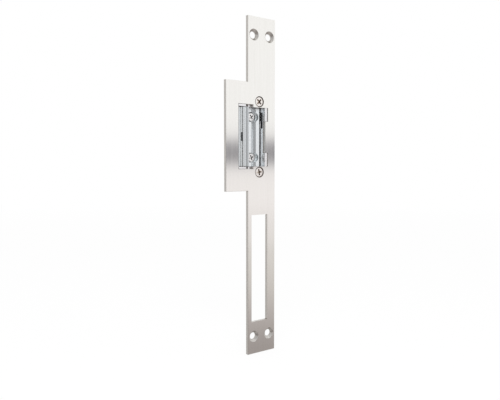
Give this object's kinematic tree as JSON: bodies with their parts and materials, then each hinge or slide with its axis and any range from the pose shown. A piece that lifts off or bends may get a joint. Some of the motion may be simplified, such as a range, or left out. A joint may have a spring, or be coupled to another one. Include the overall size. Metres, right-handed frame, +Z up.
{
  "type": "electric door strike",
  "caption": "Electric door strike: long lipped brushed faceplate with a deadbolt window, sprung keeper in a latch pocket, and a coil-released body behind.",
  "frame": {"origin": "centre of the four fixing holes, in the back face of the faceplate, which lies on the jamb", "axes": "+X to the right seen from the front, +Y into the door jamb, +Z up along the faceplate"},
  "size_m": [0.0443, 0.03, 0.25],
  "materials": {
    "brushed_stainless": "vertical brushed grain, satin",
    "plated_screw": "nickel plated, warm white",
    "bright_zinc": "polished zinc plate, slightly blue",
    "cast_zinc": "die-cast zinc, satin",
    "plated_sheet": "zinc plated sheet",
    "spring_steel": "drawn wire",
    "turned_steel": "ground pin",
    "soft_iron": "zinc plated soft iron",
    "blackened_steel": "blackened, rubbed at its edges",
    "brass_pad": "thin sheet",
    "bobbin_plastic": "black, glass filled",
    "copper_winding": "enamelled copper wire",
    "terminal_plastic": "dark grey",
    "lead_insulation": "red sleeve"
  },
  "bodies": {
    "frame": {"faceplate": "brushed_stainless", "body_screws": "plated_screw", "housing": "cast_zinc", "rear_cover": "plated_sheet", "cover_screws": "plated_screw", "side_cover": "plated_sheet", "side_cover_screws": "plated_screw", "keeper_pin": "turned_steel", "lever_pin": "turned_steel", "lever_clip": "spring_steel", "coil_bobbin": "bobbin_plastic", "coil_winding": "copper_winding", "coil_core": "soft_iron", "coil_yoke": "soft_iron", "yoke_screw": "plated_screw", "armature_pin": "turned_steel", "terminal_block": "terminal_plastic", "terminal_clamps": "brass_pad", "terminal_screws": "plated_screw", "coil_leads": "lead_insulation"},
    "keeper": {"keeper": "bright_zinc", "insert_screws": "plated_screw", "keeper_spring": "spring_steel"},
    "insert": {"keeper_insert": "bright_zinc"},
    "lever": {"blocking_lever": "turned_steel", "lever_spring": "spring_steel"},
    "armature": {"armature": "soft_iron", "armature_pad": "brass_pad", "armature_spring": "spring_steel"},
    "slider": {"day_latch_slider": "blackened_steel", "slider_spring": "spring_steel"}
  },
  "joints": [
    {"name": "keeper_swing", "type": "hinge", "parent": "frame", "child": "keeper", "pos_m": [-0.0168, 0.0045, 0.03775], "axis": [0, 0, 1], "range_deg": [-22, 0], "stiffness_Nm_per_rad": 0.05, "springref_deg": 20.05},
    {"name": "insert_adjust", "type": "slide", "parent": "keeper", "child": "insert", "axis": [1, 0, 0], "range_m": [-0.0005, 0]},
    {"name": "lever_tilt", "type": "hinge", "parent": "frame", "child": "lever", "pos_m": [-0.0119, 0.0118, 0.04175], "axis": [0, 1, 0], "range_deg": [0, 17.6]},
    {"name": "armature_tilt", "type": "hinge", "parent": "frame", "child": "armature", "pos_m": [-0.0058, 0.0225, 0.03445], "axis": [1, 0, 0], "range_deg": [0, 9]},
    {"name": "day_latch", "type": "slide", "parent": "frame", "child": "slider", "axis": [0, 0, 1], "range_m": [-0.0055, 0]}
  ],
  "couplings": [
    {"joint": "lever_tilt", "follows": "keeper_swing", "ratio": -0.8},
    {"joint": "armature_tilt", "follows": "keeper_swing", "ratio": -0.40909}
  ]
}
